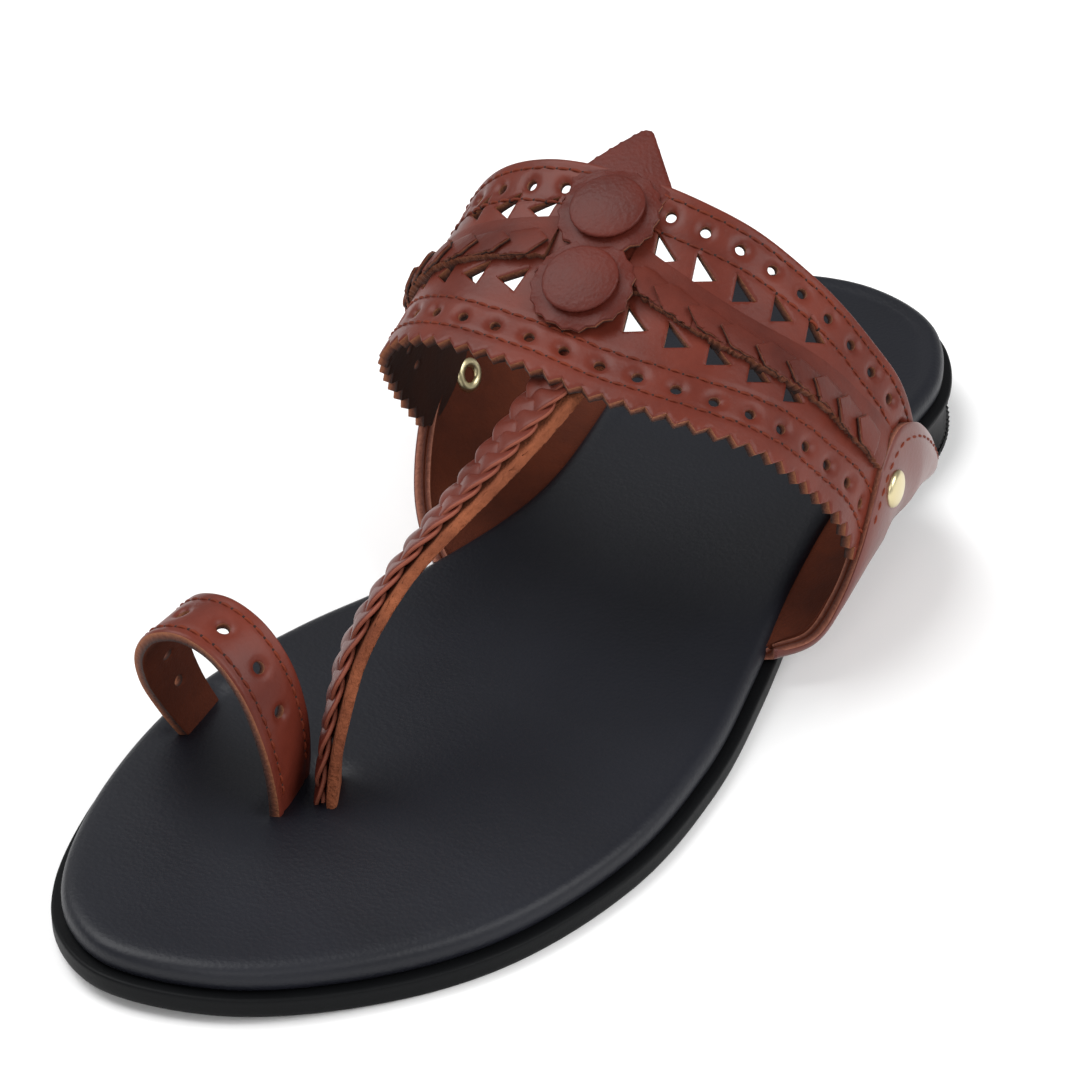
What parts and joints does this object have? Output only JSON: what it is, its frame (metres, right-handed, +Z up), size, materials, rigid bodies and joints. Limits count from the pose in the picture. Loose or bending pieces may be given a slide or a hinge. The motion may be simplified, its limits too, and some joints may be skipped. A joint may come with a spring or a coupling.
{
  "type": "toe-loop sandal",
  "caption": "Open leather toe-loop sandal for the left foot: padded footbed on a low rubber sole, arched instep band held by side ears, braided thong and toe loop",
  "frame": {"origin": "bottom centre of the shoe's bounding box, on the floor the sole stands on", "axes": "+Z up; the toe points along -Y and the heel along +Y; the outer (lateral) side of this left shoe is +X and the inner (medial) side is -X"},
  "size_m": [0.0974, 0.25, 0.0896],
  "materials": {
    "sole_rubber": "moulded black rubber, satin",
    "footbed_leather": "smooth black leather with fine grain, satin",
    "upper_leather": "reddish brown leather, semi-gloss, raw cut edges",
    "braid_leather": "reddish brown leather, plaited",
    "rivet_brass": "polished brass"
  },
  "bodies": {
    "root": {"outsole": "sole_rubber", "insole": "footbed_leather", "upper": "upper_leather", "toe_loop": "upper_leather", "leaf_tab": "upper_leather", "rosette_front": "upper_leather", "rosette_back": "upper_leather", "button_front": "upper_leather", "button_back": "upper_leather", "braid_medial": "braid_leather", "braid_lateral": "braid_leather", "rivet_medial": "rivet_brass", "rivet_lateral": "rivet_brass"}
  },
  "joints": []
}
